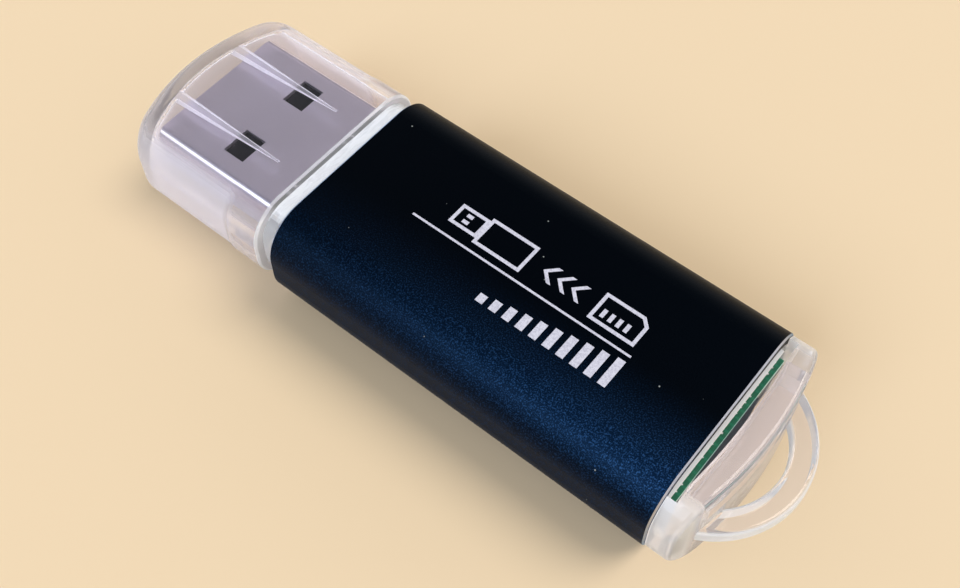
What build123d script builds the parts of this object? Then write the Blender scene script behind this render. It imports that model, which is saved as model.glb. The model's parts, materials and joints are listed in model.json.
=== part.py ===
from build123d import *
import os

# A pocket memory card reader. An aluminium sleeve slides over a clear carrier, which holds a circuit
# board with a plug at one end, and has a card slot and a lanyard loop at the other. A clear cap pulls
# off the plug. The origin is the centre of the sleeve's bottom face, +X towards the loop, +Z up.

os.makedirs("parts", exist_ok=True)

# Sleeve, a drawn tube
sleeve_length = 32.1
sleeve_height = 8.2
sleeve_corner = 3.3
sleeve_wall = 0.75
sleeve_edge = 0.12

# Carrier, a clear moulding that fills the sleeve
collar_reach = 1.4
front_block = 2.5
floor_thickness = 0.8
ledge_width = 0.6
rail_width = 0.75
tail_reach = 3.1
tail_radius = 27.8
tail_edge = 0.45
flange_inset = 0.1
notch_width = 12.0
notch_depth = 0.35

# Lanyard loop on the carrier's end
loop_reach = 6.25
loop_radius = 7.3
loop_bar = 1.8
loop_hole_radius = 5.45
loop_thickness = 1.45
loop_edge = 0.35
loop_root = 0.85

# Plug
plug_width = 12.0
plug_height = 4.5
plug_corner = 0.7
plug_sheet = 0.3
plug_reach = 12.3
plug_depth = 3.9
plug_tip_edge = 0.12
plug_seam = 0.08
window_width = 2.4
window_length = 1.9
window_setback = 5.2
window_spacing = 6.2
leg_length = 2.2
leg_overlap = 0.5
tongue_thickness = 2.0
tongue_setback = 0.4
mouth_depth = 9.0
pin_width = 1.0
pin_thickness = 0.2
outer_pin_setback = 1.6
inner_pin_setback = 2.6
outer_pin_spacing = 7.0
inner_pin_spacing = 2.0
pin_tail = 2.0

# Circuit board
board_margin = 0.3
board_thickness = 1.0
board_overhang = 0.3

# Memory card that the socket takes
card_width = 11.0
card_thickness = 1.0
card_length = 15.0
card_proud = 0.6

# Card socket
socket_floor = 0.35
socket_side = 0.8
socket_back_wall = 1.2
socket_setback = 0.2
socket_sheet = 0.2
lip_reach = 0.12
spring_count = 8
spring_pitch = 1.1
spring_width = 0.7
spring_thickness = 0.15
spring_tail = 0.7
spring_flat = 1.6
spring_arm = 2.4
spring_rise = 0.55
spring_tip = 0.6
shell_window_length = 3.0
shell_window_width = 4.0
shell_window_spacing = 6.0

# Parts on the board
chip_length = 4.9
chip_width = 3.9
chip_height = 1.4
chip_standoff = 0.15
chip_edge = 0.2
lead_count = 8
lead_pitch = 0.55
lead_width = 0.25
lead_thickness = 0.18
lead_reach = 1.0
crystal_length = 2.5
crystal_width = 3.2
crystal_height = 0.8
crystal_edge = 0.3
chip_to_crystal = 0.9
passive_length = 1.6
passive_width = 0.8
capacitor_height = 0.8
resistor_height = 0.45
passive_edge = 0.08
passive_row = 4.9
passive_pitch = 2.4

# Cap
cap_wall = 0.75
cap_front_wall = 1.4
cap_front_radius = 15.5
cap_front_edge = 1.6
cap_cavity_edge = 0.8
cap_space = 1.3
cap_inset = 0.225
skirt_inset = 0.125
skirt_step = 0.2
skirt_length = 2.9
skirt_flare = 0.6
rim_edge = 0.15
rib_spacing = 6.1
rib_width = 0.8
rib_tip_width = 0.15
rib_tip_depth = 0.08
rib_reach = 11.0
rib_embed = 0.2

# Clearances
sleeve_clearance = 0.05
flange_gap = 0.05
plug_clearance = 0.05
tongue_clearance = 0.03
pin_clearance = 0.05
board_clearance = 0.1
board_end_gap = 0.48
board_gap = 0.3
leg_clearance = 0.1
card_clearance = 0.2
card_side_clearance = 0.3
spring_clearance = 0.1
cap_seat = 0.05
rib_clearance = 0.1

# Planes that the pieces share
middle = sleeve_height / 2
sleeve_front = -sleeve_length / 2
sleeve_back = sleeve_length / 2
carrier_inset = sleeve_wall + sleeve_clearance
socket_cavity = card_width + 2 * card_clearance
socket_width = socket_cavity + 2 * socket_side
shell_width = socket_width + 2 * socket_sheet
board_width = shell_width + 2 * board_margin
carrier_width = board_width + 2 * (board_clearance + rail_width)
sleeve_width = carrier_width + 2 * carrier_inset
carrier_height = sleeve_height - 2 * carrier_inset
carrier_corner = sleeve_corner - carrier_inset
carrier_bottom = carrier_inset
collar_front = sleeve_front - collar_reach
tail_apex = sleeve_back + tail_reach
plug_tip = collar_front - plug_reach
plug_back = sleeve_front + plug_depth
plug_top = middle + plug_height / 2
plug_inner_top = plug_top - plug_sheet
board_bottom = plug_inner_top - tongue_thickness
board_top = board_bottom + board_thickness
board_front = plug_back + board_gap
board_back = sleeve_back + board_overhang
cavity_front = sleeve_front + front_block
end_wall_face = board_back + board_end_gap
card_bottom = board_top + socket_floor
socket_top = card_bottom + card_thickness
socket_front = sleeve_back - socket_setback
card_stop = tail_apex + card_proud - card_length
socket_back = card_stop - socket_back_wall

# Sleeve: a rounded tube with its cut ends lightly broken
with BuildPart() as sleeve:
    with BuildSketch(Plane.YZ.offset(sleeve_front)):
        with Locations((0, middle)):
            RectangleRounded(sleeve_width, sleeve_height, sleeve_corner)
            RectangleRounded(
                sleeve_width - 2 * sleeve_wall,
                sleeve_height - 2 * sleeve_wall,
                sleeve_corner - sleeve_wall,
                mode=Mode.SUBTRACT,
            )
    extrude(amount=sleeve_length)
    sleeve_ends = sleeve.faces().filter_by(GeomType.PLANE).filter_by(Axis.X)
    chamfer([edge for end in sleeve_ends for edge in end.outer_wire().edges()], sleeve_edge)
sleeve.part.label = "sleeve"
export_step(sleeve.part, "parts/sleeve.step")

# Tail flange: a block as large as the sleeve's outline, its end a shallow arc in plan
flange_face = sleeve_back + flange_gap
tail_half = sleeve_width / 2
tail_side = tail_apex - tail_radius + (tail_radius**2 - tail_half**2) ** 0.5
with BuildPart() as tail_flange:
    with BuildSketch(Plane.YZ.offset(flange_face)):
        with Locations((0, middle)):
            RectangleRounded(
                sleeve_width - 2 * flange_inset,
                sleeve_height - 2 * flange_inset,
                sleeve_corner - flange_inset,
            )
    extrude(amount=tail_reach)
    with BuildSketch(Plane.XY):
        with BuildLine():
            Polyline(
                (tail_side, tail_half),
                (sleeve_back, tail_half),
                (sleeve_back, -tail_half),
                (tail_side, -tail_half),
            )
            RadiusArc((tail_side, -tail_half), (tail_side, tail_half), -tail_radius)
        make_face()
    extrude(amount=sleeve_height, mode=Mode.INTERSECT)
    end_face = tail_flange.faces().filter_by(GeomType.CYLINDER).sort_by(SortBy.RADIUS)[-1]
    fillet(end_face.outer_wire().edges(), tail_edge)

# Carrier: the loop comes first so that its long edges are broken all the way into the end wall
loop_tip = sleeve_back + loop_reach
loop_centre = loop_tip - loop_radius
loop_hole_centre = loop_tip - loop_bar - loop_hole_radius
loop_top = middle
loop_bottom = loop_top - loop_thickness
loop_start = tail_apex - loop_root
slot_bottom = card_bottom - card_clearance
slot_height = card_thickness + 2 * card_clearance
slot_width = card_width + 2 * card_side_clearance
notch_radius = (notch_width**2 / 4 + notch_depth**2) / (2 * notch_depth)
with BuildPart() as carrier:
    with BuildSketch(Plane.XY.offset(loop_bottom)):
        with Locations((loop_centre, 0)):
            Circle(loop_radius)
        with Locations((loop_hole_centre, 0)):
            Circle(loop_hole_radius, mode=Mode.SUBTRACT)
        with Locations((loop_start, 0)):
            Rectangle(
                loop_reach, 2 * loop_radius, align=(Align.MIN, Align.CENTER), mode=Mode.INTERSECT
            )
    extrude(amount=loop_thickness)
    fillet(carrier.edges().filter_by(GeomType.CIRCLE).group_by(Axis.Z)[-1], loop_edge)
    chamfer(carrier.edges().filter_by(GeomType.CIRCLE).group_by(Axis.Z)[0], loop_edge)
    add(tail_flange.part)
    with BuildSketch(Plane.YZ.offset(collar_front)):
        with Locations((0, middle)):
            RectangleRounded(carrier_width, carrier_height, carrier_corner)
    extrude(amount=end_wall_face - collar_front)

    # Room for the board and its socket, open at the top, with a ledge under each side of the board
    with BuildSketch(Plane.XY.offset(board_bottom)):
        with Locations((cavity_front, 0)):
            Rectangle(
                end_wall_face - cavity_front,
                board_width + 2 * board_clearance,
                align=(Align.MIN, Align.CENTER),
            )
        with Locations((end_wall_face + notch_depth - notch_radius, 0)):
            Circle(notch_radius)
        with Locations((cavity_front, 0)):
            Rectangle(
                end_wall_face + notch_depth - cavity_front,
                board_width + 2 * board_clearance,
                align=(Align.MIN, Align.CENTER),
                mode=Mode.INTERSECT,
            )
    extrude(amount=sleeve_height - board_bottom, mode=Mode.SUBTRACT)
    with BuildSketch(Plane.XY.offset(carrier_bottom + floor_thickness)):
        with Locations((cavity_front, 0)):
            Rectangle(
                end_wall_face - cavity_front,
                board_width - 2 * ledge_width,
                align=(Align.MIN, Align.CENTER),
            )
    extrude(amount=board_bottom - carrier_bottom - floor_thickness, mode=Mode.SUBTRACT)

    # The card slot through the end wall, and the window for the plug through the front block
    with BuildSketch(Plane.YZ.offset(end_wall_face)):
        with Locations((0, slot_bottom + slot_height / 2)):
            Rectangle(slot_width, slot_height)
    extrude(amount=tail_apex - end_wall_face, mode=Mode.SUBTRACT)
    with BuildSketch(Plane.YZ.offset(collar_front)):
        with Locations((0, middle)):
            RectangleRounded(
                plug_width + 2 * plug_clearance,
                plug_height + 2 * plug_clearance,
                plug_corner + plug_clearance,
            )
    extrude(amount=collar_reach + front_block, mode=Mode.SUBTRACT)
carrier.part.label = "carrier"
export_step(carrier.part, "parts/carrier.step")

# Plug shell: folded sheet with a seam underneath, two windows in each broad face and two board legs
with BuildPart() as plug_shell:
    with BuildSketch(Plane.YZ.offset(plug_tip)):
        with Locations((0, middle)):
            RectangleRounded(plug_width, plug_height, plug_corner)
            RectangleRounded(
                plug_width - 2 * plug_sheet,
                plug_height - 2 * plug_sheet,
                plug_corner - plug_sheet,
                mode=Mode.SUBTRACT,
            )
    extrude(amount=plug_back - plug_tip)
    tip_face = plug_shell.faces().sort_by(Axis.X)[0]
    chamfer(tip_face.outer_wire().edges(), plug_tip_edge)
    with BuildSketch(Plane.XY):
        with Locations((plug_tip + window_setback + window_length / 2, 0)):
            with GridLocations(0, window_spacing, 1, 2):
                Rectangle(window_length, window_width)
    extrude(amount=sleeve_height, mode=Mode.SUBTRACT)
    with BuildSketch(Plane.XY):
        with Locations((plug_tip, 0)):
            Rectangle(plug_back - plug_tip, plug_seam, align=(Align.MIN, Align.CENTER))
    extrude(amount=middle, mode=Mode.SUBTRACT)
    with BuildSketch(Plane.XY.offset(board_bottom - leg_overlap)):
        with Locations((plug_back - plug_corner, 0)):
            with GridLocations(0, plug_width - plug_sheet, 1, 2):
                Rectangle(leg_length + plug_corner, plug_sheet, align=(Align.MIN, Align.CENTER))
    extrude(amount=board_thickness + 2 * leg_overlap)
plug_shell.part.label = "plug_shell"
export_step(plug_shell.part, "parts/plug_shell.step")

# Plug tongue: a block that fills the shell's back, and a tongue along the upper half of its mouth
tongue_width = plug_width - 2 * (plug_sheet + tongue_clearance)
tongue_block_height = plug_height - 2 * (plug_sheet + tongue_clearance)
tongue_block_front = plug_tip + mouth_depth
pin_bottom = board_bottom - pin_thickness
pin_rows = [-outer_pin_spacing / 2, -inner_pin_spacing / 2, inner_pin_spacing / 2, outer_pin_spacing / 2]
with BuildPart() as plug_tongue:
    with BuildSketch(Plane.YZ.offset(plug_tip + tongue_setback)):
        with Locations((0, middle)):
            Rectangle(tongue_width, tongue_block_height)
        with Locations((0, board_bottom)):
            Rectangle(
                tongue_width, plug_height, align=(Align.CENTER, Align.MIN), mode=Mode.INTERSECT
            )
    extrude(amount=plug_back - plug_tip - tongue_setback)
    with BuildSketch(Plane.YZ.offset(tongue_block_front)):
        with Locations((0, middle)):
            Rectangle(tongue_width, tongue_block_height)
    extrude(amount=plug_back - tongue_block_front)
    long_corners = plug_tongue.edges().filter_by(Axis.X).group_by(SortBy.LENGTH)
    fillet(long_corners[0] + long_corners[-1].sort_by(Axis.Z)[-2:], plug_corner - plug_sheet)
    with BuildSketch(Plane.YZ.offset(tongue_block_front)):
        for row in pin_rows:
            with Locations((row, board_bottom)):
                Rectangle(
                    pin_width + 2 * pin_clearance,
                    pin_thickness + pin_clearance,
                    align=(Align.CENTER, Align.MAX),
                )
    extrude(amount=plug_back - tongue_block_front, mode=Mode.SUBTRACT)
plug_tongue.part.label = "plug_tongue"
export_step(plug_tongue.part, "parts/plug_tongue.step")

# Plug contacts: flat strips under the tongue, the outer two longer, with tails under the board
for number, row in enumerate(pin_rows, start=1):
    setback = inner_pin_setback if abs(row) < outer_pin_spacing / 2 else outer_pin_setback
    with BuildPart() as plug_contact:
        with BuildSketch(Plane.XY.offset(pin_bottom)):
            with Locations((plug_tip + setback, row)):
                Rectangle(
                    board_front + pin_tail - plug_tip - setback,
                    pin_width,
                    align=(Align.MIN, Align.CENTER),
                )
        extrude(amount=pin_thickness)
        nose = plug_contact.edges().filter_by(Axis.Y).sort_by(Axis.X)[:2].sort_by(Axis.Z)[0]
        chamfer(nose, pin_thickness / 2)
    plug_contact.part.label = f"plug_contact_{number}"
    export_step(plug_contact.part, f"parts/plug_contact_{number}.step")

# Circuit board: rests on the carrier's ledges, and is notched in front for the plug's legs
leg_slot = leg_length + leg_clearance - board_gap
with BuildPart() as circuit_board:
    with BuildSketch(Plane.XY.offset(board_bottom)):
        with Locations((board_front, 0)):
            Rectangle(board_back - board_front, board_width, align=(Align.MIN, Align.CENTER))
            with GridLocations(0, plug_width - plug_sheet, 1, 2):
                Rectangle(
                    leg_slot,
                    plug_sheet + 2 * leg_clearance,
                    align=(Align.MIN, Align.CENTER),
                    mode=Mode.SUBTRACT,
                )
    extrude(amount=board_thickness)
circuit_board.part.label = "circuit_board"
export_step(circuit_board.part, "parts/circuit_board.step")

# Card socket base: a tray on the board, open to the card slot, with a groove for each spring
spring_groove = spring_width + 2 * spring_clearance
spring_groove_end = socket_back + spring_flat + spring_arm + spring_tip + spring_clearance
with BuildPart() as card_socket_base:
    with BuildSketch(Plane.XY.offset(board_top)):
        with Locations((socket_back, 0)):
            Rectangle(socket_front - socket_back, socket_width, align=(Align.MIN, Align.CENTER))
    extrude(amount=socket_top - board_top)
    with BuildSketch(Plane.XY.offset(card_bottom)):
        with Locations((card_stop, 0)):
            Rectangle(socket_front - card_stop, socket_cavity, align=(Align.MIN, Align.CENTER))
    extrude(amount=card_thickness, mode=Mode.SUBTRACT)
    with BuildSketch(Plane.XY.offset(board_top)):
        with Locations((socket_back, 0)):
            with GridLocations(0, spring_pitch, 1, spring_count):
                Rectangle(
                    spring_groove_end - socket_back, spring_groove, align=(Align.MIN, Align.CENTER)
                )
    extrude(amount=socket_floor, mode=Mode.SUBTRACT)
card_socket_base.part.label = "card_socket_base"
export_step(card_socket_base.part, "parts/card_socket_base.step")

# Card socket shell: a folded sheet over the base, with a lip over the card's way in
shell_front = sleeve_back + lip_reach
with BuildPart() as card_socket_shell:
    with BuildSketch(Plane.XY.offset(socket_top)):
        with Locations((socket_back, 0)):
            Rectangle(shell_front - socket_back, shell_width, align=(Align.MIN, Align.CENTER))
    extrude(amount=socket_sheet)
    with BuildSketch(Plane.XY.offset(board_top)):
        with Locations((socket_back, 0)):
            with GridLocations(0, socket_width + socket_sheet, 1, 2):
                Rectangle(
                    socket_front - socket_back, socket_sheet, align=(Align.MIN, Align.CENTER)
                )
    extrude(amount=socket_top + socket_sheet - board_top)
    folds = card_socket_shell.edges().filter_by(Axis.X).group_by(Axis.Z)[-1]
    fillet(folds, socket_sheet / 2)
    with BuildSketch(Plane.XY.offset(socket_top)):
        with Locations(((socket_back + socket_front) / 2, 0)):
            with GridLocations(0, shell_window_spacing, 1, 2):
                Rectangle(shell_window_length, shell_window_width)
    extrude(amount=socket_sheet, mode=Mode.SUBTRACT)
card_socket_shell.part.label = "card_socket_shell"
export_step(card_socket_shell.part, "parts/card_socket_shell.step")

# Card contacts: springs in the base's grooves, soldered to the board behind it
spring_rows = [(index - (spring_count - 1) / 2) * spring_pitch for index in range(spring_count)]
spring_rise_start = socket_back + spring_flat
spring_crest = spring_rise_start + spring_arm
for number, row in enumerate(spring_rows, start=1):
    with BuildPart() as card_contact:
        with BuildSketch(Plane.XZ.offset(-row - spring_width / 2)):
            with BuildLine():
                Polyline(
                    (socket_back - spring_tail, board_top),
                    (spring_rise_start, board_top),
                    (spring_crest, board_top + spring_rise),
                    (spring_crest + spring_tip, board_top + spring_rise - spring_thickness),
                    (spring_crest + spring_tip, board_top + spring_rise),
                    (spring_crest, board_top + spring_rise + spring_thickness),
                    (spring_rise_start, board_top + spring_thickness),
                    (socket_back - spring_tail, board_top + spring_thickness),
                    close=True,
                )
            make_face()
        extrude(amount=spring_width)
    card_contact.part.label = f"card_contact_{number}"
    export_step(card_contact.part, f"parts/card_contact_{number}.step")

# Controller chip: a moulded body on two rows of bent leads, midway between the plug and the socket
bench_front = board_front + leg_slot
bench_back = socket_back - spring_tail
chip_centre = (bench_front + bench_back - crystal_length - chip_to_crystal) / 2
chip_side = chip_width / 2
lead_shoulder = board_top + chip_standoff + chip_height / 2
with BuildPart() as controller_chip:
    with BuildSketch(Plane.XY.offset(board_top + chip_standoff)):
        with Locations((chip_centre, 0)):
            Rectangle(chip_length, chip_width)
    extrude(amount=chip_height)
    chamfer(controller_chip.faces().sort_by(Axis.Z)[-1].edges(), chip_edge)
    for index in range(lead_count):
        lead_x = chip_centre + (index - (lead_count - 1) / 2) * lead_pitch
        with BuildSketch(Plane.YZ.offset(lead_x - lead_width / 2)):
            with BuildLine():
                Polyline(
                    (chip_side - lead_reach / 2, lead_shoulder),
                    (chip_side + lead_reach / 2, lead_shoulder),
                    (chip_side + lead_reach / 2, board_top + lead_thickness),
                    (chip_side + lead_reach, board_top + lead_thickness),
                    (chip_side + lead_reach, board_top),
                    (chip_side + lead_reach / 2 - lead_thickness, board_top),
                    (chip_side + lead_reach / 2 - lead_thickness, lead_shoulder - lead_thickness),
                    (chip_side - lead_reach / 2, lead_shoulder - lead_thickness),
                    close=True,
                )
            make_face()
            mirror(about=Plane.YZ)
        extrude(amount=lead_width)
controller_chip.part.label = "controller_chip"
export_step(controller_chip.part, "parts/controller_chip.step")

# Crystal: a small lidded can behind the chip
crystal_x = chip_centre + chip_length / 2 + chip_to_crystal + crystal_length / 2
with BuildPart() as crystal:
    with BuildSketch(Plane.XY.offset(board_top)):
        with Locations((crystal_x, 0)):
            Rectangle(crystal_length, crystal_width)
    extrude(amount=crystal_height / 2)
    with BuildSketch(Plane.XY.offset(board_top + crystal_height / 2)):
        with Locations((crystal_x, 0)):
            Rectangle(crystal_length - crystal_edge, crystal_width - crystal_edge)
    extrude(amount=crystal_height / 2)
    chamfer(crystal.edges().filter_by(Axis.Z), crystal_edge / 2)
crystal.part.label = "crystal"
export_step(crystal.part, "parts/crystal.step")

# Passives: three capacitors in one row beside the chip and two resistors in the other
passives = [
    ("capacitor_1", -1, passive_row, capacitor_height),
    ("capacitor_2", 0, passive_row, capacitor_height),
    ("capacitor_3", 1, passive_row, capacitor_height),
    ("resistor_1", -0.5, -passive_row, resistor_height),
    ("resistor_2", 0.5, -passive_row, resistor_height),
]
for passive_name, place, row, height in passives:
    with BuildPart() as passive:
        with BuildSketch(Plane.XY.offset(board_top)):
            with Locations((chip_centre + place * passive_pitch, row)):
                Rectangle(passive_length, passive_width)
        extrude(amount=height)
        chamfer(passive.edges().filter_by(Axis.Y), passive_edge)
    passive.part.label = passive_name
    export_step(passive.part, f"parts/{passive_name}.step")

# Cap: its front is a shallow arc in plan, its sides flare to a wider skirt at the mouth
skirt_width = sleeve_width - 2 * skirt_inset
cap_height = sleeve_height - 2 * cap_inset
skirt_corner = sleeve_corner - skirt_inset
cap_width = skirt_width - 2 * skirt_step
cap_corner = skirt_corner - skirt_step
cap_rim = collar_front - cap_seat
cap_cavity_front = plug_tip - cap_space
cap_front = cap_cavity_front - cap_front_wall
skirt_start = cap_rim - skirt_length
flare_start = skirt_start - skirt_flare
cap_cavity_top = middle + cap_height / 2 - cap_wall
rib_front = cap_cavity_front - rib_embed
rib_back = cap_cavity_front + rib_reach
rib_depth = cap_cavity_top - plug_top - rib_clearance
with BuildPart() as cap_cavity:
    with BuildSketch(Plane.YZ.offset(cap_cavity_front)):
        with Locations((0, middle)):
            RectangleRounded(
                cap_width - 2 * cap_wall, cap_height - 2 * cap_wall, cap_corner - cap_wall
            )
    extrude(amount=cap_rim - cap_cavity_front)
    with BuildSketch(Plane.XY):
        with Locations((cap_front + cap_front_radius, 0)):
            Circle(cap_front_radius - cap_front_wall)
    extrude(amount=sleeve_height, mode=Mode.INTERSECT)
    cavity_face = cap_cavity.faces().filter_by(GeomType.CYLINDER).sort_by(SortBy.RADIUS)[-1]
    fillet(cavity_face.outer_wire().edges(), cap_cavity_edge)
with BuildPart() as cap:
    with BuildSketch(Plane.YZ.offset(cap_front)):
        with Locations((0, middle)):
            RectangleRounded(cap_width, cap_height, cap_corner)
    extrude(amount=flare_start - cap_front)
    with BuildSketch(Plane.XY):
        with Locations((cap_front + cap_front_radius, 0)):
            Circle(cap_front_radius)
    extrude(amount=sleeve_height, mode=Mode.INTERSECT)
    front_face = cap.faces().filter_by(GeomType.CYLINDER).sort_by(SortBy.RADIUS)[-1]
    fillet(front_face.outer_wire().edges(), cap_front_edge)
    with BuildSketch(Plane.YZ.offset(flare_start)):
        with Locations((0, middle)):
            RectangleRounded(cap_width, cap_height, cap_corner)
    with BuildSketch(Plane.YZ.offset(skirt_start)):
        with Locations((0, middle)):
            RectangleRounded(skirt_width, cap_height, skirt_corner)
    loft()
    with BuildSketch(Plane.YZ.offset(skirt_start)):
        with Locations((0, middle)):
            RectangleRounded(skirt_width, cap_height, skirt_corner)
    extrude(amount=skirt_length)
    rim_face = cap.faces().sort_by(Axis.X)[-1]
    chamfer(rim_face.outer_wire().edges(), rim_edge)
    add(cap_cavity.part, mode=Mode.SUBTRACT)
    for side in (-1, 1):
        rib_y = side * rib_spacing / 2
        with BuildSketch(Plane.YZ.offset(rib_front)):
            with Locations((rib_y, cap_cavity_top + rib_embed)):
                Rectangle(rib_width, rib_embed + rib_depth, align=(Align.CENTER, Align.MAX))
        with BuildSketch(Plane.YZ.offset(rib_back)):
            with Locations((rib_y, cap_cavity_top + rib_embed)):
                Rectangle(rib_tip_width, rib_embed + rib_tip_depth, align=(Align.CENTER, Align.MAX))
        loft()
cap.part.label = "cap"
export_step(cap.part, "parts/cap.step")
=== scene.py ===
import json
import math

import bmesh
import bpy
from mathutils import Matrix, Vector


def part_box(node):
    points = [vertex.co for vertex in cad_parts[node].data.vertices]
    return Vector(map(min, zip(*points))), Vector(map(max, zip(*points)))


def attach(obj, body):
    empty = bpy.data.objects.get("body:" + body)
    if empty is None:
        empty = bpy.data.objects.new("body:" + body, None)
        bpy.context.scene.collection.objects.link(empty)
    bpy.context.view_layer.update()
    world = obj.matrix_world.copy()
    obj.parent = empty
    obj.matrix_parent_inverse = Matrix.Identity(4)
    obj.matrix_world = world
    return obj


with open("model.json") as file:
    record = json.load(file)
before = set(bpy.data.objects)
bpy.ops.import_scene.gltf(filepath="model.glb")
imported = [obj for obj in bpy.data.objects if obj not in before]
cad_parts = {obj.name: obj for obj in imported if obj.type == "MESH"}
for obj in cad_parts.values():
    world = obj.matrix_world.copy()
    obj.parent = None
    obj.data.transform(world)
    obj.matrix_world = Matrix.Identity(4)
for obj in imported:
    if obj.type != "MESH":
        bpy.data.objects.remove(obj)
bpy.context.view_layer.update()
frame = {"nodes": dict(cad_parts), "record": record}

# The looks of a pocket memory card reader: black sleeve, clear cap and carrier, steel plug.
MM = 0.001
nodes = frame["nodes"]
sleeve_low, sleeve_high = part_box("sleeve")
board_low, board_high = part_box("circuit_board")
_, plug_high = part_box("plug_shell")
cap_low, cap_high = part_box("cap")


# Camera at the photograph's angle, in a 960 by 588 frame
CAMERA_AZIMUTH = math.radians(38.726)
CAMERA_ELEVATION = math.radians(56.889)
CAMERA_ROLL = math.radians(0.103)
CAMERA_LENS = 46.4
CAMERA_SENSOR = 36.0
CAMERA_EYE = Vector((26.377, -37.927, 76.494)) * MM
CAMERA_NEAR = 1 * MM
CAMERA_FAR = 10


def make_camera():
    back = Vector((
        math.sin(CAMERA_AZIMUTH) * math.cos(CAMERA_ELEVATION),
        -math.cos(CAMERA_AZIMUTH) * math.cos(CAMERA_ELEVATION),
        math.sin(CAMERA_ELEVATION),
    ))
    level_right = Vector((math.cos(CAMERA_AZIMUTH), math.sin(CAMERA_AZIMUTH), 0))
    level_up = back.cross(level_right)
    right = math.cos(CAMERA_ROLL) * level_right + math.sin(CAMERA_ROLL) * level_up
    up = math.cos(CAMERA_ROLL) * level_up - math.sin(CAMERA_ROLL) * level_right
    data = bpy.data.cameras.new("camera")
    data.lens = CAMERA_LENS
    data.sensor_width = CAMERA_SENSOR
    data.clip_start = CAMERA_NEAR
    data.clip_end = CAMERA_FAR
    camera = bpy.data.objects.new("camera", data)
    turn = Matrix((right, up, back)).transposed()
    camera.matrix_world = Matrix.Translation(CAMERA_EYE) @ turn.to_4x4()
    bpy.context.scene.collection.objects.link(camera)
    bpy.context.scene.camera = camera


# The middle range of a noise's values, over which most ramps run
NOISE_RANGE = (0.3, 0.7)


class Shader:
    """A material with one Principled shader and short calls for the nodes that feed it."""

    def __init__(self, name):
        self.material = bpy.data.materials.new(name)
        self.material.use_nodes = True
        self.tree = self.material.node_tree
        self.principled = self.tree.nodes["Principled BSDF"]
        self.output = self.tree.nodes["Material Output"]
        self.place = self.add("ShaderNodeTexCoord").outputs["Object"]

    def add(self, kind, **settings):
        node = self.tree.nodes.new(kind)
        for key, value in settings.items():
            setattr(node, key, value)
        return node

    def feed(self, socket, value):
        if isinstance(value, bpy.types.NodeSocket):
            self.tree.links.new(value, socket)
        else:
            socket.default_value = value

    def set(self, **values):
        for key, value in values.items():
            self.feed(self.principled.inputs[key.replace("_", " ")], value)

    def math(self, operation, first, second=0.0):
        node = self.add("ShaderNodeMath", operation=operation)
        self.feed(node.inputs[0], first)
        self.feed(node.inputs[1], second)
        return node.outputs[0]

    def mix(self, factor, first, second):
        node = self.add("ShaderNodeMix", data_type="RGBA")
        self.feed(node.inputs["Factor"], factor)
        self.feed(node.inputs["A"], first)
        self.feed(node.inputs["B"], second)
        return node.outputs["Result"]

    def ramp(self, value, low, high, bottom=0.0, top=1.0):
        node = self.add("ShaderNodeMapRange")
        for socket, number in zip(node.inputs, (value, low, high, bottom, top)):
            self.feed(socket, number)
        return node.outputs[0]

    def stretch(self, scale):
        node = self.add("ShaderNodeMapping")
        self.feed(node.inputs["Vector"], self.place)
        node.inputs["Scale"].default_value = scale
        return node.outputs["Vector"]

    def noise(self, size, detail=2.0, scale=(1, 1, 1)):
        node = self.add("ShaderNodeTexNoise")
        self.feed(node.inputs["Vector"], self.stretch(scale))
        node.inputs["Scale"].default_value = 1 / size
        node.inputs["Detail"].default_value = detail
        return node.outputs["Fac"]

    def cells(self, size, output="Distance"):
        node = self.add("ShaderNodeTexVoronoi")
        self.feed(node.inputs["Vector"], self.place)
        node.inputs["Scale"].default_value = 1 / size
        return node.outputs[output]

    def axis(self, letter, vector=None):
        node = self.add("ShaderNodeSeparateXYZ")
        self.feed(node.inputs[0], vector or self.place)
        return node.outputs[letter]

    def normal(self):
        return self.add("ShaderNodeNewGeometry").outputs["True Normal"]

    def lobe(self, kind, colour):
        node = self.add("ShaderNodeBsdf" + kind)
        self.feed(node.inputs["Color"], colour)
        return node.outputs["BSDF"]

    def blend(self, factor, first, second):
        node = self.add("ShaderNodeMixShader")
        for socket, value in zip(node.inputs, (factor, first, second)):
            self.feed(socket, value)
        return node.outputs["Shader"]

    def bump(self, height, depth, strength=1.0):
        node = self.add("ShaderNodeBump")
        self.feed(node.inputs["Height"], height)
        node.inputs["Distance"].default_value = depth
        node.inputs["Strength"].default_value = strength
        self.feed(self.principled.inputs["Normal"], node.outputs["Normal"])


# Sleeve: its blue sheen is a painted reflection; where it starts and is full across the width, and its
# share at the plug's end and on the flanks
PAINTED_SHEEN_NONE = -0.5 * MM
PAINTED_SHEEN_FULL = -8.2 * MM
PAINTED_SHEEN_CURVE = 2.0
PAINTED_SHEEN_AT_PLUG = 0.38
FLANK_PAINTED_SHEEN = 0.16
FLANK_TURN = (0.60, 0.90)
# Sleeve: grain, painted blue glints in the grain where the sheen is painted, scattered specks, bright
# chamfers and colours
GRAIN_SIZE = 0.10 * MM
GRAIN_DEPTH = 0.012 * MM
SPECK_PITCH = 1.3 * MM
SPECK_EDGE = (0.025, 0.055)
SPECK_CHOICE = (0.78, 0.79)
CHAMFER_FROM = (0.50, 0.60)
CHAMFER_TO = (0.85, 0.95)
GLINT_RANGE = (0.49, 0.70)
SLEEVE_BLACK = (0.0004, 0.0009, 0.0018, 1)
# Colour of the painted sheen, standing in for a blue reflection
PAINTED_SHEEN_BLUE = (0.0038, 0.0195, 0.0600, 1)
PAINTED_GLINT_BLUE = (0.0360, 0.1250, 0.3300, 1)
SPECK_COLOUR = (0.34, 0.36, 0.34, 1)
CHAMFER_COLOUR = (0.55, 0.55, 0.60, 1)
SLEEVE_ROUGHNESS = (0.30, 0.46)
SLEEVE_GLOSS = 0.05
SLEEVE_GLOSS_TINT = (0.25, 0.55, 1.0, 1)


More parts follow.
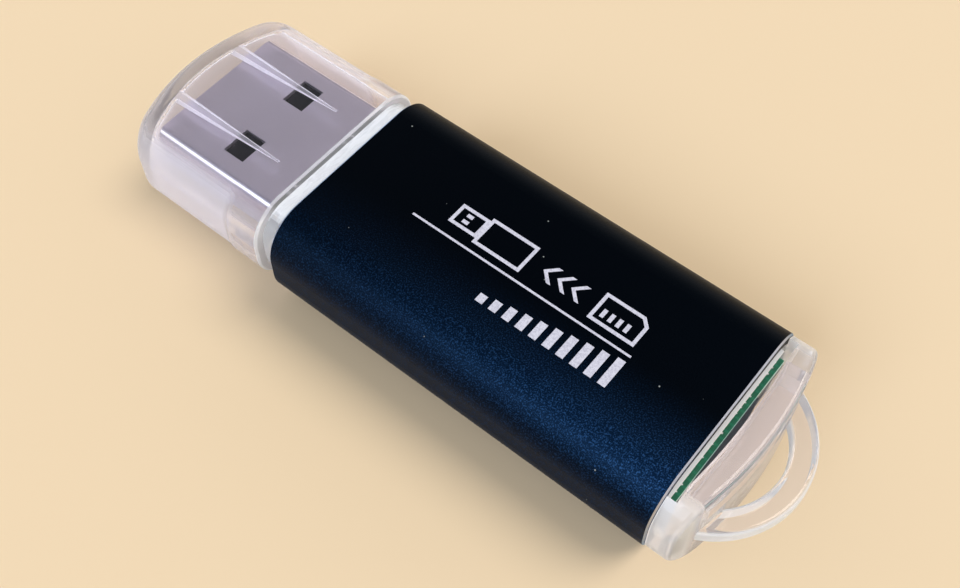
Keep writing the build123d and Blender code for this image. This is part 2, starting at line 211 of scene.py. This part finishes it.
def sleeve_painted_sheen(shader):
    """Painted reflection, strongest along the top's -Y edge near the tail, weak and even on both flanks.
    """
    across = shader.ramp(shader.axis("Y"), PAINTED_SHEEN_NONE, PAINTED_SHEEN_FULL)
    along = shader.ramp(shader.axis("X"), sleeve_low.x, sleeve_high.x, PAINTED_SHEEN_AT_PLUG, 1.0)
    spread = shader.math("POWER", shader.math("MULTIPLY", across, along), PAINTED_SHEEN_CURVE)
    flank = shader.ramp(shader.math("ABSOLUTE", shader.axis("Y", shader.normal())), *FLANK_TURN)
    top = shader.math("MULTIPLY", spread, shader.math("SUBTRACT", 1.0, flank))
    return shader.math("ADD", top, shader.math("MULTIPLY", flank, FLANK_PAINTED_SHEEN))


def sleeve_material():
    """Black satin anodising with a painted blue sheen and painted blue glints in its fine grain, a few
    pale specks and bright chamfered ends.
    """
    shader = Shader("sleeve_black")
    grain = shader.noise(GRAIN_SIZE, 3)
    facing = shader.math("ABSOLUTE", shader.axis("X", shader.normal()))
    turned = shader.ramp(facing, *CHAMFER_FROM)
    cut = shader.math("MULTIPLY", turned, shader.ramp(facing, *CHAMFER_TO, 1.0, 0.0))
    speck_core = shader.ramp(shader.cells(SPECK_PITCH), *SPECK_EDGE, 1.0, 0.0)
    chosen = shader.ramp(shader.axis("X", shader.cells(SPECK_PITCH, "Color")), *SPECK_CHOICE)
    speck = shader.math("MULTIPLY", speck_core, chosen)
    sheen = sleeve_painted_sheen(shader)
    # painted glints: the grain picked out in blue only where the sheen is painted
    painted_glint = shader.math("MULTIPLY", shader.ramp(grain, *GLINT_RANGE), sheen)
    # painted sheen: the black turns blue where the reflection is painted
    black = shader.mix(sheen, SLEEVE_BLACK, PAINTED_SHEEN_BLUE)
    blue = shader.mix(painted_glint, black, PAINTED_GLINT_BLUE)
    skin = shader.mix(speck, blue, SPECK_COLOUR)
    shader.set(
        Base_Color=shader.mix(cut, skin, CHAMFER_COLOUR),
        Metallic=cut,
        Roughness=shader.ramp(grain, *NOISE_RANGE, *SLEEVE_ROUGHNESS),
        Specular_IOR_Level=SLEEVE_GLOSS,
        Specular_Tint=SLEEVE_GLOSS_TINT,
    )
    shader.bump(grain, GRAIN_DEPTH, 0.7)
    return shader.material


# Clear plastic: its own colour, the colours of its milky share, the whiter of which also carries painted
# highlights, how much light passes through the milk, and the tint of the light that goes on to other
# surfaces
CLEAR_COLOUR = (0.960, 0.938, 0.985, 1)
CLEAR_IOR = 1.49
POLISH_SIZE = 0.9 * MM
POLISH_ROUGHNESS = (0.03, 0.07)
WAVE_SIZE = 1.6 * MM
WAVE_DEPTH = 0.012 * MM
MILK_COLOUR = (0.93, 0.92, 1.0, 1)
WHITE_MILK_AND_HIGHLIGHT = (0.96, 0.98, 1.0, 1)
MILK_GLOW = 0.45
WHITE_GLOW = 0.15
SHADOW_COLOUR = (0.985, 0.980, 0.985, 1)


def clear_shader(name, haze, frost=None, white=None):
    """Clear moulded plastic with a faint lilac cast, milky where the haze is high; the haze also carries
    painted highlights and painted light.
    """
    shader = Shader(name)
    polish = shader.ramp(shader.noise(POLISH_SIZE, 2), *NOISE_RANGE, *POLISH_ROUGHNESS)
    shader.set(
        Base_Color=CLEAR_COLOUR,
        Roughness=shader.math("ADD", polish, frost(shader) if frost else 0.0),
        Transmission_Weight=1.0,
        IOR=CLEAR_IOR,
    )
    shader.bump(shader.noise(WAVE_SIZE, 1), WAVE_DEPTH, 0.35)
    whiter_and_highlit = white(shader) if white else 0.0
    # the whiter milk paints highlights where this mask is high
    tint = shader.mix(whiter_and_highlit, MILK_COLOUR, WHITE_MILK_AND_HIGHLIGHT)
    glow = shader.ramp(whiter_and_highlit, 0.0, 1.0, MILK_GLOW, WHITE_GLOW)
    milk = shader.blend(glow, shader.lobe("Diffuse", tint), shader.lobe("Translucent", tint))
    cloudy = shader.blend(haze(shader), shader.principled.outputs["BSDF"], milk)
    path = shader.add("ShaderNodeLightPath").outputs
    lit_through = shader.math("MAXIMUM", path["Is Shadow Ray"], path["Is Diffuse Ray"])
    seen = shader.blend(lit_through, cloudy, shader.lobe("Transparent", SHADOW_COLOUR))
    shader.feed(shader.output.inputs["Surface"], seen)
    return shader.material


# Cap: ribs under its top, their sides frosted by the mould and whitened by a painted highlight
RIB_ROW = 3.05 * MM
RIB_HALF = 0.6 * MM
RIB_TOP = cap_high.z - 0.76 * MM
RIB_FROST = 0.5
RIB_SIDE_HIGHLIGHT = 0.6
RIB_UNDER_HAZE = 0.34
# Cap: its walls are milky, partly real haze and partly painted light that makes the sides whiter than the
# top, more so at the foot with a painted reflection, and less in the middle of the front and on the skirt
SIDE_HAZE_AND_LIGHT = 0.46
FOOT_HAZE_AND_REFLECTION = 0.55
LOW_START = cap_low.z + 2.0 * MM
LOW_FULL = cap_low.z + 0.7 * MM
WALL_TURN = (0.97, 0.70)
FRONT_SHARE = 0.35
FRONT_TURN = (-0.90, -0.99)
SKIRT_SHARE = 0.45
SKIRT_START = cap_high.x - 2.9 * MM
FLARE_START = SKIRT_START - 0.6 * MM
# Cap: a painted highlight makes its rim white, weaker along the top
RIM_HIGHLIGHT = 0.75
RIM_TOP_HIGHLIGHT = 0.42
RIM_DEPTH = 0.2 * MM
RIM_SIDE = cap_high.z - 1.2 * MM
RIM_TOP = cap_high.z - 0.4 * MM


def on_ribs(shader):
    beside = shader.math("SUBTRACT", shader.math("ABSOLUTE", shader.axis("Y")), RIB_ROW)
    near_rib = shader.math("LESS_THAN", shader.math("ABSOLUTE", beside), RIB_HALF)
    under_top = shader.math("LESS_THAN", shader.axis("Z"), RIB_TOP)
    above_plug = shader.math("GREATER_THAN", shader.axis("Z"), plug_high.z)
    return shader.math("MULTIPLY", near_rib, shader.math("MULTIPLY", under_top, above_plug))


def rib_sides(shader):
    upright = shader.math("GREATER_THAN", shader.math("ABSOLUTE", shader.axis("Y", shader.normal())), 0.5)
    return shader.math("MULTIPLY", on_ribs(shader), upright)


def on_rim(shader):
    return shader.math("GREATER_THAN", shader.axis("X"), cap_high.x - RIM_DEPTH)


def cap_haze_and_highlights(shader):
    level = shader.math("ABSOLUTE", shader.axis("Z", shader.normal()))
    low = shader.ramp(shader.axis("Z"), LOW_START, LOW_FULL, SIDE_HAZE_AND_LIGHT, FOOT_HAZE_AND_REFLECTION)
    tilted = shader.ramp(level, *WALL_TURN)
    ahead = shader.ramp(shader.axis("X", shader.normal()), *FRONT_TURN, 1.0, FRONT_SHARE)
    skirt = shader.ramp(shader.axis("X"), FLARE_START, SKIRT_START, 1.0, SKIRT_SHARE)
    share = shader.math("MULTIPLY", ahead, skirt)
    # painted light: upright walls whiter than the top, most along the foot, on top of the real haze
    walls = shader.math("MULTIPLY", shader.math("MULTIPLY", tilted, low), share)
    undersides = shader.math("MULTIPLY", on_ribs(shader), RIB_UNDER_HAZE)
    # painted highlight on the rib sides, real milkiness on their undersides
    ribs = shader.math("MAXIMUM", shader.math("MULTIPLY", rib_sides(shader), RIB_SIDE_HIGHLIGHT), undersides)
    # painted highlight: the rim whitened, less towards the top
    rim_highlight_share = shader.ramp(shader.axis("Z"), RIM_SIDE, RIM_TOP, RIM_HIGHLIGHT, RIM_TOP_HIGHLIGHT)
    rim = shader.math("MULTIPLY", on_rim(shader), rim_highlight_share)
    return shader.math("MAXIMUM", shader.math("MAXIMUM", walls, ribs), rim)


def rib_frost(shader):
    return shader.math("MULTIPLY", rib_sides(shader), RIB_FROST)


def cap_material():
    # the rim takes the whiter milk of its painted highlight
    return clear_shader("cap_clear", cap_haze_and_highlights, rib_frost, on_rim)


# Carrier: painted highlights on its collar's top and along the loop's edges, painted light on its end
# faces, and milky blocks beside its end wall
BLOCK_START = 6.0 * MM
BLOCK_FULL = 7.2 * MM
WALL_HAZE = 0.14
BLOCK_HAZE = 0.40
END_FACE_LIGHTENING = 0.25
END_TURN = (0.60, 0.90)
COLLAR_TOP_HIGHLIGHT = 1.0
COLLAR_SIDE_HAZE = 0.06
COLLAR_TURN = (0.6, 0.95)
HIGHLIGHT_STREAK = 0.25
STREAK_SIZE = 0.9 * MM
STREAK_STRETCH = (2.2, 0.5, 1)
STREAK_RANGE = (0.40, 0.60)
LOOP_EDGE_HIGHLIGHT = 0.7
LOOP_TOP_HAZE = 0.06
LOOP_TURN = (0.95, 0.60)
LOOP_TOP = 4.15 * MM
LOOP_START = sleeve_high.x + 2.2 * MM
TAIL_FACE_END = sleeve_high.x + 3.3 * MM
TAIL_FACE_TURN = 0.75


def in_collar(shader):
    return shader.math("LESS_THAN", shader.axis("X"), sleeve_low.x)


def in_loop(shader):
    """Low and behind the tail, apart from the tail's own end face."""
    behind = shader.math("GREATER_THAN", shader.axis("X"), LOOP_START)
    low = shader.math("LESS_THAN", shader.axis("Z"), LOOP_TOP)
    facing_back = shader.math("GREATER_THAN", shader.axis("X", shader.normal()), TAIL_FACE_TURN)
    on_tail = shader.math("LESS_THAN", shader.axis("X"), TAIL_FACE_END)
    off_face = shader.math("SUBTRACT", 1.0, shader.math("MULTIPLY", facing_back, on_tail))
    return shader.math("MULTIPLY", shader.math("MULTIPLY", behind, low), off_face)


def beside_wall(shader):
    return shader.ramp(shader.math("ABSOLUTE", shader.axis("Y")), BLOCK_START, BLOCK_FULL)


# places given the whiter milk: painted highlights on the collar and loop, real milk on the blocks
def white_and_highlit_places(shader):
    outside = shader.math("MAXIMUM", in_collar(shader), in_loop(shader))
    return shader.math("MAXIMUM", beside_wall(shader), outside)


def carrier_haze_and_highlights(shader):
    level = shader.math("ABSOLUTE", shader.axis("Z", shader.normal()))
    blocks = shader.ramp(beside_wall(shader), 0.0, 1.0, WALL_HAZE, BLOCK_HAZE)
    # painted light: faces turned to +X lightened over the shaded inside
    ends = shader.ramp(shader.axis("X", shader.normal()), *END_TURN, 0.0, END_FACE_LIGHTENING)
    # painted highlight on the collar's top, broken by streaks
    flow = shader.noise(STREAK_SIZE, 2, STREAK_STRETCH)
    streak = shader.ramp(flow, *STREAK_RANGE, -HIGHLIGHT_STREAK, 0.0)
    top = shader.ramp(level, *COLLAR_TURN, COLLAR_SIDE_HAZE, COLLAR_TOP_HIGHLIGHT)
    collar = shader.math("MULTIPLY", in_collar(shader), shader.math("ADD", top, streak))
    # painted highlights along the loop's rounded edges
    edges = shader.ramp(level, *LOOP_TURN, LOOP_TOP_HAZE, LOOP_EDGE_HIGHLIGHT)
    loop = in_loop(shader)
    milky = shader.math("MAXIMUM", shader.math("MAXIMUM", blocks, ends), collar)
    body = shader.math("MULTIPLY", shader.math("SUBTRACT", 1.0, loop), milky)
    return shader.math("ADD", shader.math("MULTIPLY", loop, edges), body)


def carrier_material():
    return clear_shader("carrier_clear", carrier_haze_and_highlights, white=white_and_highlit_places)


# Steel: rolled grain on the flats, and painted shade on the bends with a painted highlight along their
# middle
ROLLED_SIZE = 0.05 * MM
ROLLED_STRETCH = (0.06, 1, 1)
ROLLED_RANGE = (0.25, 0.75)
ROLLED_DEPTH = 0.004 * MM
SMUDGE_SIZE = 4 * MM
SMUDGE_SHADE = 0.86
BEND_PAINTED_SHADE = 0.55
BEND_FROM = (0.15, 0.40)
BEND_TO = (0.99, 0.85)
PAINTED_HIGHLIGHT_COLOUR = (0.98, 0.94, 0.90, 1)
HIGHLIGHT_FROM = (0.46, 0.58)
HIGHLIGHT_TO = (0.80, 0.68)


def darker(colour, share):
    return tuple(share * part for part in colour[:3]) + (1,)


def steel_material(name, colour, low, high):
    """Plated sheet metal, rolled along its length, with painted shade on its bends and a painted highlight
    along their middle.
    """
    shader = Shader(name)
    rolled = shader.noise(ROLLED_SIZE, 2, ROLLED_STRETCH)
    smudge = shader.noise(SMUDGE_SIZE, 2)
    sideways = shader.math("ABSOLUTE", shader.axis("Y", shader.normal()))
    # painted shade across the bends, and a painted highlight in their middle
    bend_shade_mask = shader.math("MULTIPLY", shader.ramp(sideways, *BEND_FROM), shader.ramp(sideways, *BEND_TO))
    painted_highlight = shader.math("MULTIPLY", shader.ramp(sideways, *HIGHLIGHT_FROM), shader.ramp(sideways, *HIGHLIGHT_TO))
    flat = shader.mix(smudge, colour, darker(colour, SMUDGE_SHADE))
    bend_shade_and_highlight = shader.mix(painted_highlight, darker(colour, BEND_PAINTED_SHADE), PAINTED_HIGHLIGHT_COLOUR)
    shader.set(
        Base_Color=shader.mix(bend_shade_mask, flat, bend_shade_and_highlight),
        Metallic=1.0,
        Roughness=shader.ramp(rolled, *ROLLED_RANGE, low, high),
    )
    shader.bump(rolled, ROLLED_DEPTH, 0.5)
    return shader.material


# Card socket: bright sheet, white along the lip
LIP_DEPTH = 0.6 * MM
LIP_COLOUR = (0.93, 0.93, 0.93, 1)
LIP_DULLNESS = 0.3
SHEET_COLOUR = (0.80, 0.80, 0.82, 1)
SHEET_ROUGHNESS = (0.14, 0.26)


def socket_material():
    """Bright plated sheet with a white lip at the card's way in."""
    shader = Shader("socket_steel")
    rolled = shader.noise(ROLLED_SIZE, 2, ROLLED_STRETCH)
    sheet = shader.ramp(rolled, *ROLLED_RANGE, *SHEET_ROUGHNESS)
    lip = shader.math("GREATER_THAN", shader.axis("X"), sleeve_high.x - LIP_DEPTH)
    shader.set(
        Base_Color=shader.mix(lip, SHEET_COLOUR, LIP_COLOUR),
        Metallic=shader.math("SUBTRACT", 1.0, lip),
        Roughness=shader.math("ADD", sheet, shader.math("MULTIPLY", lip, LIP_DULLNESS)),
    )
    shader.bump(rolled, ROLLED_DEPTH, 0.5)
    return shader.material


# Plain plastic and ceramic: a fine texture and a slow change of shade
TEXTURE_SIZE = 0.06 * MM
TEXTURE_DEPTH = 0.005 * MM
SHADE_SIZE = 0.8 * MM
SHADE_SHARE = 0.8


def plastic_material(name, colour, low, high, gloss=0.5):
    """Matt moulded plastic or ceramic with a fine texture."""
    shader = Shader(name)
    texture = shader.noise(TEXTURE_SIZE, 2)
    shader.set(
        Base_Color=shader.mix(shader.noise(SHADE_SIZE), colour, darker(colour, SHADE_SHARE)),
        Roughness=shader.ramp(texture, *NOISE_RANGE, low, high),
        Specular_IOR_Level=gloss,
    )
    shader.bump(texture, TEXTURE_DEPTH, 0.5)
    return shader.material


# Board: tracks under the mask, edges pale along the top and painted shade below, and white ticks of ink at
# the sleeve's end
TRACK_PITCH = 0.62 * MM
TRACK_EDGE = (0.55, 0.7)
TRACK_DEPTH = 0.01 * MM
MASK_GREEN = (0.003, 0.135, 0.070, 1)
TRACK_GREEN = (0.006, 0.190, 0.100, 1)
MASK_SIZE = 0.4 * MM
MASK_ROUGHNESS = (0.28, 0.42)
EDGE_TURN = (0.4, 0.6)
EDGE_BAND = (board_high.z - 0.45 * MM, board_high.z - 0.35 * MM)
EDGE_PAINTED_SHADE = (0.02, 0.03, 0.035, 1)
EDGE_PALE = (0.50, 0.76, 0.72, 1)
TICK_START = -0.14 * MM
TICK_SIZE = 0.35 * MM
TICK_RANGE = (0.52, 0.66)
TICK_REACH = 0.17 * MM
TICK_WHITE = (0.85, 0.88, 0.88, 1)


def board_material():
    """Green solder mask over faint tracks, with edges that are pale along the top and painted shade below.
    """
    shader = Shader("board_green")
    wave = shader.math("SINE", shader.math("MULTIPLY", shader.axis("Y"), math.tau / TRACK_PITCH))
    tracks = shader.ramp(wave, *TRACK_EDGE)
    mask = shader.mix(tracks, MASK_GREEN, TRACK_GREEN)
    level = shader.math("ABSOLUTE", shader.axis("Z", shader.normal()))
    edge = shader.ramp(level, *EDGE_TURN, 1.0, 0.0)
    # painted shade on the lower part of the edges, bare pale fibreglass along the top
    edge_pale_and_shade = shader.mix(shader.ramp(shader.axis("Z"), *EDGE_BAND), EDGE_PAINTED_SHADE, EDGE_PALE)
    tick_row = shader.noise(TICK_SIZE, 1, (0, 1, 0))
    reach = shader.ramp(tick_row, *TICK_RANGE, 0.0, TICK_REACH)
    tick_end = shader.math("ADD", reach, sleeve_high.x + TICK_START)
    tick = shader.math("LESS_THAN", shader.axis("X"), tick_end)
    at_end = shader.math("GREATER_THAN", shader.axis("X"), sleeve_high.x - LIP_DEPTH)
    inked = shader.mix(shader.math("MULTIPLY", tick, at_end), mask, TICK_WHITE)
    shader.set(
        Base_Color=shader.mix(edge, inked, edge_pale_and_shade),
        Roughness=shader.ramp(shader.noise(MASK_SIZE), *NOISE_RANGE, *MASK_ROUGHNESS),
    )
    shader.bump(tracks, TRACK_DEPTH, 0.5)
    return shader.material


# Ink: how it thins over the grain
INK_GRAIN = 0.12 * MM
INK_RANGE = (0.35, 0.6)
INK_DEPTH = 0.004 * MM
INK_THIN = (0.52, 0.51, 0.60, 1)
INK_FULL = (0.70, 0.69, 0.78, 1)
INK_ROUGHNESS = 0.55


def print_material():
    """Pale printed ink, thin enough to show the grain under it."""
    shader = Shader("print_white")
    cover = shader.noise(INK_GRAIN, 2)
    shader.set(
        Base_Color=shader.mix(shader.ramp(cover, *INK_RANGE), INK_THIN, INK_FULL),
        Roughness=INK_ROUGHNESS,
    )
    shader.bump(cover, INK_DEPTH, 0.4)
    return shader.material


def dress_nodes():
    looks = {
        "sleeve_black": sleeve_material(),
        "plug_steel": steel_material("plug_steel", (0.64, 0.60, 0.67, 1), 0.36, 0.48),
        "socket_steel": socket_material(),
        "contact_gold": steel_material("contact_gold", (0.86, 0.60, 0.24, 1), 0.18, 0.30),
        "insulator_black": plastic_material("insulator_black", (0.002, 0.002, 0.004, 1), 0.42, 0.58, 0.15),
        "chip_black": plastic_material("chip_black", (0.016, 0.016, 0.017, 1), 0.50, 0.65),
        "capacitor_ceramic": plastic_material("capacitor_ceramic", (0.40, 0.28, 0.16, 1), 0.35, 0.50),
        "board_green": board_material(),
    }
    clear = {"cap": cap_material(), "carrier": carrier_material()}
    for subpart in frame["record"]["subparts"]:
        name = subpart["node"]
        mesh = nodes[name].data
        mesh.materials.clear()
        mesh.materials.append(clear[name] if name in clear else looks[subpart["material_slot"]])


# Print on the sleeve, in millimetres apart from its thickness: a plain rule, above it a diagram of a plug,
# a body, arrows and a card, and rising bars below
INK_THICKNESS = 0.012 * MM
RULE_START, RULE_END = Vector((-9.24, -0.9)), Vector((9.03, -0.9))
RULE_WIDTH = 0.17
STROKE = 0.26
LEAST_MITRE = 0.2
PLUG_BOX = (-7.0, 0.15, -4.6, 1.95)
PLUG_HOLES = ((-6.2, 0.62, -5.7, 0.92), (-6.2, 1.18, -5.7, 1.48))
BODY_BOX = (-4.6, -0.25, -0.6, 2.25)
ARROW_START, ARROW_LEVEL = 0.6, 1.0
ARROW_SIZE, ARROW_WIDTH = 0.75, 0.36
ARROW_PITCH, ARROW_COUNT = 1.15, 3
CARD_PLACE, CARD_SIZE, CARD_CLIP = (5.0, -0.2), (3.7, 2.4), 0.6
CONTACT_BOX = (5.6, 0.35, 5.9, 1.05)
CONTACT_PITCH, CONTACT_COUNT = 0.62, 4
BARS_START, BARS_END = -1.5, 9.5
BARS_LOW = -3.75
BAR_COUNT = 10
BAR_HEIGHTS = (0.7, 2.35)
BAR_SHARE = 0.55


def rectangle(x0, y0, x1, y1):
    return [(x0, y0), (x1, y0), (x1, y1), (x0, y1)]


def frame_strips(points, width):
    """Strips of the given width along the sides of a closed outline, mitred at the corners."""
    count = len(points)
    inner = []
    for index, point in enumerate(points):
        before = (Vector(point) - Vector(points[index - 1])).normalized()
        after = (Vector(points[(index + 1) % count]) - Vector(point)).normalized()
        turn = (before.orthogonal() + after.orthogonal()).normalized()
        reach = width / max(turn.dot(after.orthogonal()), LEAST_MITRE)
        inner.append(tuple(Vector(point) + turn * reach))
    return [
        [points[i], points[(i + 1) % count], inner[(i + 1) % count], inner[i]]
        for i in range(count)
    ]


def card_outline(x, y, width, height, clip):
    right, top = x + width, y + height
    return [(x, y), (right, y), (right, top - clip), (right - clip, top), (x, top)]


def chevron(x, y, size, width):
    return [
        (x + size, y - size), (x + size + width, y - size), (x + width, y), (x + size + width, y + size),
        (x + size, y + size), (x, y),
    ]


def print_shapes():
    half = RULE_WIDTH / 2
    shapes = [rectangle(RULE_START.x, RULE_START.y - half, RULE_END.x, RULE_END.y + half)]
    shapes += frame_strips(rectangle(*PLUG_BOX), STROKE)
    shapes += [rectangle(*hole) for hole in PLUG_HOLES]
    shapes += frame_strips(rectangle(*BODY_BOX), STROKE)
    for index in range(ARROW_COUNT):
        shapes.append(chevron(ARROW_START + ARROW_PITCH * index, ARROW_LEVEL, ARROW_SIZE, ARROW_WIDTH))
    shapes += frame_strips(card_outline(*CARD_PLACE, *CARD_SIZE, CARD_CLIP), STROKE)
    left, low, right, high = CONTACT_BOX
    for index in range(CONTACT_COUNT):
        shift = CONTACT_PITCH * index
        shapes.append(rectangle(left + shift, low, right + shift, high))
    pitch = (BARS_END - BARS_START) / BAR_COUNT
    for index in range(BAR_COUNT):
        rise = BAR_HEIGHTS[0] + (BAR_HEIGHTS[1] - BAR_HEIGHTS[0]) * index / (BAR_COUNT - 1)
        left = BARS_START + index * pitch
        shapes.append(rectangle(left, BARS_LOW, left + pitch * BAR_SHARE, BARS_LOW + rise))
    return shapes


def add_plate(mesh, ring, bottom, thickness):
    """A flat plate with the given outline."""
    floor_ring = [mesh.verts.new((x, y, bottom)) for x, y in ring]
    top_ring = [mesh.verts.new((x, y, bottom + thickness)) for x, y in ring]
    mesh.faces.new(top_ring)
    mesh.faces.new(list(reversed(floor_ring)))
    for index in range(len(ring)):
        following = (index + 1) % len(ring)
        mesh.faces.new((floor_ring[index], floor_ring[following], top_ring[following], top_ring[index]))


def add_piece(name, mesh, material):
    bmesh.ops.recalc_face_normals(mesh, faces=mesh.faces)
    data = bpy.data.meshes.new(name)
    mesh.to_mesh(data)
    mesh.free()
    data.materials.append(material)
    piece = bpy.data.objects.new(name, data)
    bpy.context.scene.collection.objects.link(piece)
    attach(piece, "body")


def make_print():
    mesh = bmesh.new()
    for shape in print_shapes():
        add_plate(mesh, [(x * MM, y * MM) for x, y in shape], sleeve_high.z, INK_THICKNESS)
    add_piece("sleeve_print", mesh, print_material())


# Painted shade: a dark strip along the middle of the board's end, put where the gap beside the board is in
# shade, its outer side a shallow arc
STRIP_HALF = 3.7 * MM
STRIP_DEPTH = 0.42 * MM
STRIP_END_DEPTH = 0.12 * MM
STRIP_STEPS = 24
STRIP_DROP = 0.35 * MM
STRIP_SHADE_COLOUR = (0.012, 0.015, 0.024, 1)


def make_shade_strip():
    start = board_high.x
    ring = [(start, STRIP_HALF), (start, -STRIP_HALF)]
    for step in range(STRIP_STEPS + 1):
        along = 2 * step / STRIP_STEPS - 1
        depth = STRIP_DEPTH - (STRIP_DEPTH - STRIP_END_DEPTH) * along ** 2
        ring.append((start + depth, STRIP_HALF * along))
    mesh = bmesh.new()
    add_plate(mesh, ring, board_low.z, board_high.z - board_low.z - STRIP_DROP)
    # painted shade: a dark sheet in a gap that is only in shade
    dark = plastic_material("painted_shade_strip", STRIP_SHADE_COLOUR, 0.5, 0.6)
    add_piece("board_end_shade_strip", mesh, dark)


# Floor: plain, pale and just under the part
FLOOR_SIZE = 4.0
FLOOR_DROP = 0.02 * MM
FLOOR_COLOUR = (0.89, 0.69, 0.45, 1)
FLOOR_ROUGHNESS = 0.75
FLOOR_GLOSS = 0.2


def make_floor():
    shader = Shader("floor_pale")
    shader.set(Base_Color=FLOOR_COLOUR, Roughness=FLOOR_ROUGHNESS, Specular_IOR_Level=FLOOR_GLOSS)
    bpy.ops.mesh.primitive_plane_add(size=FLOOR_SIZE, location=(0, 0, -FLOOR_DROP))
    floor = bpy.context.object
    floor.name = "floor"
    floor.data.materials.append(shader.material)


# Light: two broad distant lamps, and a sky that is brighter towards the horizon
LAMP_SPREAD = math.radians(34)
KEY_SOURCE = (0.26, 0.28, 0.55)
KEY_STRENGTH = 1.58
KEY_COLOUR = (1.0, 0.96, 0.91)
FILL_SOURCE = (-0.10, -0.40, 0.30)
FILL_STRENGTH = 1.38
FILL_COLOUR = (0.72, 0.83, 1.0)
SKY_COLOUR = (0.97, 0.98, 1.0, 1)
SKY_FADE = {"From Min": 0.15, "From Max": 0.80, "To Min": 1.08, "To Max": 0.22}


def make_lamp(name, source, strength, colour):
    """A broad distant lamp that lights the floor evenly."""
    data = bpy.data.lights.new(name, "SUN")
    data.angle = LAMP_SPREAD
    data.energy = strength
    data.color = colour
    lamp = bpy.data.objects.new(name, data)
    lamp.location = source
    lamp.rotation_euler = (-Vector(source)).to_track_quat("-Z", "Y").to_euler()
    bpy.context.scene.collection.objects.link(lamp)


def make_light():
    make_lamp("key", KEY_SOURCE, KEY_STRENGTH, KEY_COLOUR)
    make_lamp("fill", FILL_SOURCE, FILL_STRENGTH, FILL_COLOUR)
    world = bpy.data.worlds.new("studio")
    world.use_nodes = True
    bpy.context.scene.world = world
    tree = world.node_tree
    sky = tree.nodes["Background"]
    place = tree.nodes.new("ShaderNodeTexCoord")
    split = tree.nodes.new("ShaderNodeSeparateXYZ")
    tree.links.new(place.outputs["Generated"], split.inputs[0])
    fade = tree.nodes.new("ShaderNodeMapRange")
    fade.interpolation_type = "SMOOTHSTEP"
    for name, value in SKY_FADE.items():
        fade.inputs[name].default_value = value
    tree.links.new(split.outputs["Z"], fade.inputs["Value"])
    sky.inputs["Color"].default_value = SKY_COLOUR
    tree.links.new(fade.outputs[0], sky.inputs["Strength"])


make_camera()
dress_nodes()
make_print()
make_shade_strip()
make_floor()
make_light()
bpy.context.scene.view_settings.view_transform = "Standard"
